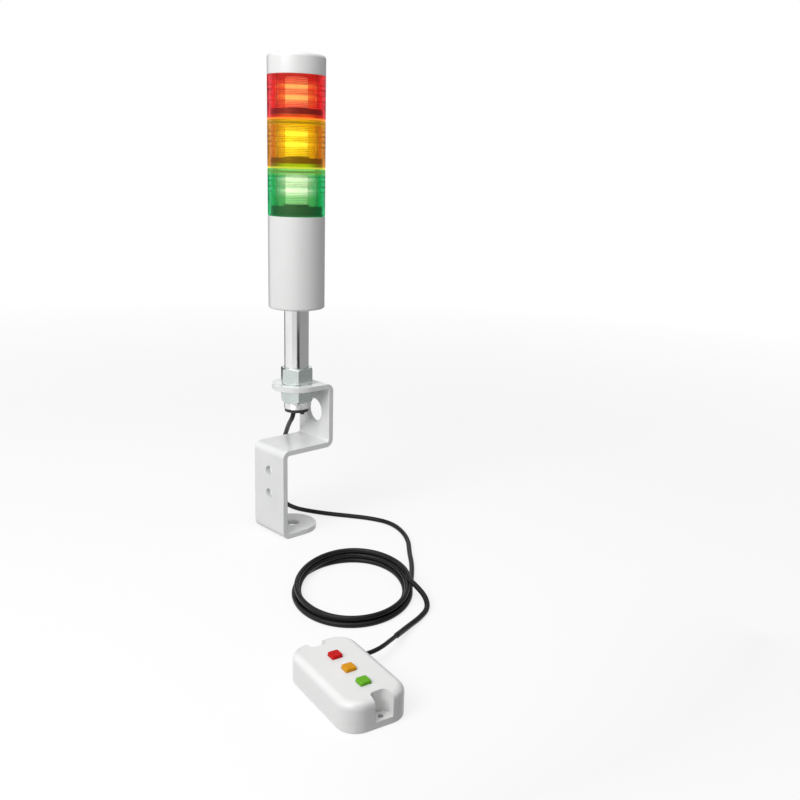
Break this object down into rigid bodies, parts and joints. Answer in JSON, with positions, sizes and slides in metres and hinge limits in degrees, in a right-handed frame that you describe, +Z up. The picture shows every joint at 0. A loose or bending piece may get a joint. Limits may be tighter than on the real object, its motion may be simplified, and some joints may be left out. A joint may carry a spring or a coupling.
{
  "type": "stack light",
  "caption": "Signal tower with red, amber and green light tiers on a steel pole, held by a folded bracket, with a cable to a small control box with square buttons.",
  "frame": {"origin": "centre of the bracket's foot hole, at the seat face under the foot", "axes": "+Z up along the foot hole and the pole, +X from the lower leg of the bracket towards its upper leg"},
  "size_m": [0.248, 0.3553, 0.4241],
  "materials": {
    "white_plastic": "glossy white",
    "red_clear": "clear red",
    "amber_clear": "clear amber",
    "green_clear": "clear green",
    "frosted": "frosted",
    "dark_plastic": "matt black",
    "circuit_board": "solder resist",
    "led": "clear resin",
    "seal_rubber": "matt",
    "pole_steel": "drawn tube",
    "nut_steel": "zinc plated",
    "bracket_metal": "satin, light",
    "screw_steel": "zinc plated",
    "cable_jacket": "smooth black",
    "terminal_plastic": "moulded green",
    "component": "moulded",
    "red_key": "moulded red",
    "amber_key": "moulded amber",
    "green_key": "moulded green"
  },
  "bodies": {
    "tower": {"top_cap": "white_plastic", "cap_seal": "seal_rubber", "tie_rods": "screw_steel", "body_lid": "dark_plastic", "base_body": "white_plastic", "driver_board": "circuit_board", "driver_parts": "component", "terminal_block": "terminal_plastic", "pole_collar": "dark_plastic", "collar_screws": "screw_steel", "pole": "pole_steel", "upper_nut": "nut_steel", "lower_nut": "nut_steel", "pole_bush": "dark_plastic", "bracket": "bracket_metal", "tower_lead": "cable_jacket", "cable_lead": "cable_jacket", "cable_coil": "cable_jacket", "cable_tail": "cable_jacket", "cable_pigtail": "cable_jacket", "box_lead": "cable_jacket", "box_base": "white_plastic", "box_cover": "white_plastic", "box_gland": "white_plastic", "box_board": "circuit_board", "box_connector": "component", "box_screws": "screw_steel", "green_lens": "green_clear", "green_seal": "seal_rubber", "green_divider": "dark_plastic", "green_column": "frosted", "green_led_board": "circuit_board", "green_leds": "led", "green_switch": "component", "amber_lens": "amber_clear", "amber_seal": "seal_rubber", "amber_divider": "dark_plastic", "amber_column": "frosted", "amber_led_board": "circuit_board", "amber_leds": "led", "amber_switch": "component", "red_lens": "red_clear", "red_seal": "seal_rubber", "red_divider": "dark_plastic", "red_column": "frosted", "red_led_board": "circuit_board", "red_leds": "led", "red_switch": "component"},
    "red_key": {"red_button": "red_key", "red_plunger": "component"},
    "amber_key": {"amber_button": "amber_key", "amber_plunger": "component"},
    "green_key": {"green_button": "green_key", "green_plunger": "component"}
  },
  "joints": [
    {"name": "green_press", "type": "slide", "parent": "tower", "child": "green_key", "axis": [0, 0, -1], "range_m": [0, 0.0012], "stiffness_N_per_m": 300, "springref_m": -0.0006},
    {"name": "amber_press", "type": "slide", "parent": "tower", "child": "amber_key", "axis": [0, 0, -1], "range_m": [0, 0.0012], "stiffness_N_per_m": 300, "springref_m": -0.0006},
    {"name": "red_press", "type": "slide", "parent": "tower", "child": "red_key", "axis": [0, 0, -1], "range_m": [0, 0.0012], "stiffness_N_per_m": 300, "springref_m": -0.0006}
  ]
}
